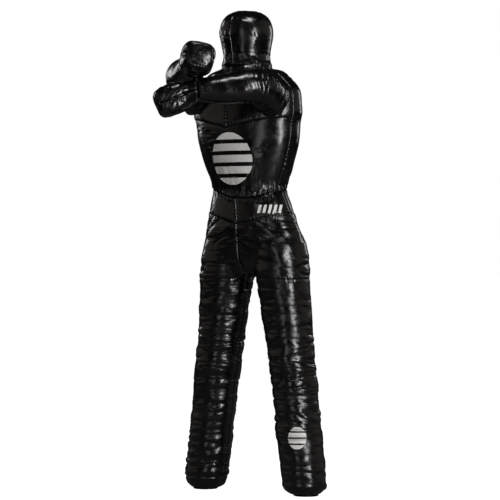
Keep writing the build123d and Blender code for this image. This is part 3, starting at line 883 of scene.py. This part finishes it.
# %% Upper arms, forearms and fists
AROUND = 150             # columns round an arm
FIST_START = 0.008       # how far past the wrist a fist turns its own way
for side, sign in (("left", 1), ("right", -1)):
    shoulder, elbow, wrist = arm_joints(side)
    reach = float(np.linalg.norm(elbow - shoulder))
    for part, low, high in (("upper_arm", -reach + 0.03, -0.004), ("forearm", -0.004, 0.224)):
        distances = np.linspace(low, high, int((high - low) / 0.0024))
        frames = arm_frames(side, distances)
        radii = np.interp(distances, TUBE[:, 0], TUBE[:, 1])
        grid = ring_grid(frames, [(r, r, 2.0) for r in radii], AROUND)
        patch = Patch(grid, closed=True)
        p = patch.p
        s = distances[:, None] * np.ones(AROUND)
        # inside the bend the leather is pressed into folds, and outside it is drawn flat
        facing = np.einsum("ijk,k->ij", patch.n, unit(unit(wrist - elbow) - unit(elbow - shoulder)))
        inner = step(-0.5, 0.8, facing)
        girth = np.arange(AROUND)[None, :] / AROUND * 2 * np.pi
        wander = 0.010 * noise(p, (0.05, 0.05, 0.05), 131)
        folded = np.stack([np.cos(girth) * 0.04 + 0 * s, np.sin(girth) * 0.04 + 0 * s, s + wander], -1)
        rings = creases(folded, (0.055, 0.055, 0.013), 133 if side == "left" else 233, bend=0.2)
        fine = creases(folded, (0.030, 0.030, 0.007), 135 if side == "left" else 235, bend=0.2)
        h = lumps(p, 0.0014, 0.07, 137)
        if part == "upper_arm":
            h += (0.0020 + 0.0016 * inner) * (rings - 0.45) + 0.0009 * (fine - 0.45)
            h += groove(patch.bottom, 0.0018, 0.006)
            h += puckers(patch.bottom, girth * 0.06, p, 0.014, 0.0012, 0.014, 139)
        else:
            near_elbow = step(0.085, 0.02, s)
            h += near_elbow * (0.0024 * (rings - 0.45) + 0.0010 * (fine - 0.45))
            h += 0.0009 * (rings - 0.45) * step(0.1, 0.7, noise(p, (0.06, 0.06, 0.06), 141))
            h += groove(patch.top, 0.0018, 0.006)
            h += puckers(patch.top, girth * 0.06, p, 0.014, 0.0012, 0.014, 143)
            h += puckers(patch.bottom, girth * 0.045, p, 0.012, 0.0020, 0.022, 145)
            h += groove(patch.bottom, 0.002, 0.006)
        patch.push(h - 0.0004)
        material = arm_leather if part == "upper_arm" else smooth_leather
        piece = leather_mesh(f"{side}_{part}_skin", patch, material)
        if part == "upper_arm":
            way = unit(elbow - shoulder)
            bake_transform(piece)
            stuffed(piece, [f"{side}_upper_arm_cover", f"{side}_upper_arm_fill"])
        else:
            way = unit(wrist - elbow)
            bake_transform(piece)
            stuffed(piece, [f"{side}_forearm_cover", f"{side}_forearm_fill"])

    centre, across, up, way = arm_frames(side, [0.221])[0]
    piece = rope_ring(f"{side}_wrist_welt_roll", centre, across, up, 0.0415, 0.0036, smooth_leather, 17)
    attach(piece, f"{side}_forearm")
    stuffed(piece, [f"{side}_wrist_welt"])

    way = FIST_WAY[side]
    rows = np.linspace(0.001, FIST[-1, 0], 66)
    sizes = [[np.interp(d, FIST[:, 0], FIST[:, k]) for k in (1, 2, 3)] for d in rows]
    along = unit(wrist - elbow)
    frames = []
    for d in rows:                                  # the wrist turns over the first 30 mm
        t = step(0.0, 0.030, d)
        lean = unit(along * (1 - t) + way * t)
        centre = wrist + along * min(d, FIST_START) + way * max(d - FIST_START, 0)
        frames.append((centre, *rolled(lean, FIST_ROLL[side]), lean))
    grid = ring_grid(frames, sizes, AROUND)
    half = AROUND // 2
    for part, columns in (("back", range(0, half + 1)), ("palm", range(half, AROUND + 1))):
        patch = Patch(grid[:, [k % AROUND for k in columns]], centre=wrist + way * 0.08)
        p = patch.p
        gather = np.exp(-patch.top / 0.035)
        h = lumps(p, 0.0016, 0.05, 151)
        h += 0.0030 * (creases(p, (0.034, 0.034, 0.034), 153) - 0.45) * (0.5 + 0.5 * gather)
        h += puckers(patch.top, patch.first, p, 0.013, 0.0030, 0.028, 155)
        h += groove(patch.top, 0.002, 0.005)
        for away in (patch.first, patch.last, patch.bottom):
            h += groove(away, 0.0025, 0.005)
        h += puckers(patch.bottom, patch.first, p, 0.011, 0.0009, 0.012, 157)
        patch.push(h - 0.0004)
        piece = leather_mesh(f"{side}_mitt_{part}_skin", patch, smooth_leather)
        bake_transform(piece)
        stuffed(piece, [f"{side}_mitt_{part}_panel"] + ([f"{side}_mitt_fill"] if part == "back" else []))
    # the end panel is a crowned patch inside the edge seam
    w, d, square = sizes[-1]
    shrink = np.concatenate([np.linspace(1.0, 0.12, 26), [0.02]])
    base = wrist + along * FIST_START + way * (FIST[-1, 0] - FIST_START)
    turned = rolled(way, FIST_ROLL[side])
    end_rings = [(base + way * (0.0045 * (1 - r ** 2.5)), *turned, way) for r in shrink]
    end_sizes = [(w * r, d * r, 2 + (square - 2) * r) for r in shrink]
    patch = Patch(ring_grid(end_rings, end_sizes, AROUND), closed=True, centre=wrist)
    if (patch.n @ way).mean() < 0:
        patch.n = -patch.n
    inside = step(0.0, 0.01, patch.top) * step(0.0, 0.02, patch.bottom)
    h = groove(patch.top, 0.0022, 0.004)
    h += 0.0011 * (creases(patch.p, (0.03, 0.03, 0.03), 161) - 0.4) * inside
    patch.push(h)
    piece = leather_mesh(f"{side}_mitt_end_skin", patch, smooth_leather, flange=0.003)
    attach(piece, f"{side}_mitt")
    stuffed(piece, [f"{side}_mitt_end_panel"])

    way = unit(elbow - shoulder)
    across = unit(np.cross((0, 0, 1), way))
    centre, up = shoulder + way * reach * 0.5, np.cross(way, across)
    name = f"{side}_armhole_welt_roll"
    piece = rope_ring(name, centre, across, up, 0.0585, 0.0035, arm_leather, 23)
    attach(piece, "torso")
    stuffed(piece, [f"{side}_armhole_welt"])

# %% [markdown]
# ## Printed marks
# White marks are screen-printed on the belly, the hip and one shin. They are plain bars here, in a
# round outline. Ink lies on the leather, so each bar is a thin sheet laid on the finished skin by
# rays, and it bends with that skin. The ink is a little rubbed, which is done with noise.

# %% White ink
def ink():
    material, nodes, links, shader = new_material("white_ink")
    place = add_node(nodes, "ShaderNodeTexCoord").outputs["Object"]
    rub = add_node(nodes, "ShaderNodeTexNoise", Scale=240.0, Detail=5.0)
    links.new(place, rub.inputs["Vector"])
    worn = map_range(nodes, From_Min=0.62, From_Max=0.72)
    links.new(rub.outputs["Fac"], worn.inputs["Value"])
    mix = add_node(nodes, "ShaderNodeMix", {"data_type": "RGBA"})
    mix.inputs["A"].default_value = (0.78, 0.77, 0.75, 1)
    mix.inputs["B"].default_value = (0.16, 0.15, 0.145, 1)
    links.new(worn.outputs["Result"], mix.inputs["Factor"])
    links.new(mix.outputs["Result"], shader.inputs["Base Color"])
    shader.inputs["Roughness"].default_value = 0.38
    bump = add_node(nodes, "ShaderNodeBump", Strength=0.15, Distance=0.0002)
    links.new(rub.outputs["Fac"], bump.inputs["Height"])
    links.new(bump.outputs["Normal"], shader.inputs["Normal"])
    return material


white_ink = ink()


def print_mark(name, skin_name, centre, facing, bars):
    """Lays bars on a skin. Each bar is a list of rows: height, left end and right end, in metres."""
    skin = bpy.data.objects[skin_name].data
    points = [v.co.copy() for v in skin.vertices]
    tree = BVHTree.FromPolygons(points, [list(face.vertices) for face in skin.polygons])
    out = Vector((math.cos(math.radians(facing)), math.sin(math.radians(facing)), 0))
    across = Vector((-out.y, out.x, 0))
    verts, quads = [], []
    columns = 46
    for bar in bars:
        start = len(verts)
        for height, left, right in bar:
            for k in range(columns):
                x = left + (right - left) * k / (columns - 1)
                near = Vector(centre) + across * x + Vector((0, 0, height))
                hit, normal, _, _ = tree.ray_cast(near + out * 0.15, -out, 0.3)
                if hit is None:
                    hit, normal = near, out
                if normal.dot(out) < 0:
                    normal = -normal
                verts.append(hit + normal * 0.0005)
        for r in range(len(bar) - 1):
            for k in range(columns - 1):
                i = start + r * columns + k
                quads.append((i, i + 1, i + 1 + columns, i + columns))
    mesh = bpy.data.meshes.new(name)
    mesh.from_pydata([tuple(v) for v in verts], [], quads)
    mesh.polygons.foreach_set("use_smooth", [True] * len(mesh.polygons))
    mesh.materials.append(white_ink)
    piece = bpy.data.objects.new(name, mesh)
    bpy.context.scene.collection.objects.link(piece)
    print(name, len(quads), "faces")
    return piece


def round_bars(half_width, half_height, count, gap, rows=9):
    """A round outline cut into level bars."""
    tall = (2 * half_height - (count - 1) * gap) / count
    bars = []
    for k in range(count):
        low = -half_height + k * (tall + gap)
        high = low + tall
        first_level = low + (0.001 if k == 0 else 0)            # the outline ends in a line, not a point
        last_level = high - (0.001 if k == count - 1 else 0)
        bar = []
        for z in np.linspace(first_level, last_level, rows):
            half = half_width * math.sqrt(max(1 - (z / half_height) ** 2, 0.0))
            bar.append((z, -half, half))
        bars.append(bar)
    return bars


def slanted_bars(count, pitch, width, tall, lean, rows=9):
    """A row of upright bars that lean to one side."""
    bars = []
    for k in range(count):
        middle = (k - (count - 1) / 2) * pitch
        bars.append([
            (z, middle - width / 2 + lean * z, middle + width / 2 + lean * z)
            for z in np.linspace(-tall / 2, tall / 2, rows)
        ])
    return bars


bars = round_bars(0.088, 0.096, 5, 0.015)
piece = print_mark("belly_mark", "belly_skin", (-0.020, BODY_Y - 0.12, 1.224), -90, bars)
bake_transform(piece)
bars = slanted_bars(5, 0.019, 0.010, 0.030, 0.25)
piece = print_mark("hip_mark", "yoke_front_left_skin", (0.119, BODY_Y - 0.068, 1.040), -51, bars)
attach(piece, "pelvis")
bars = round_bars(0.033, 0.041, 4, 0.006)
piece = print_mark("shin_mark", "left_leg_skin", (0.205, BODY_Y, 0.214), -62, bars)
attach(piece, "left_shin")
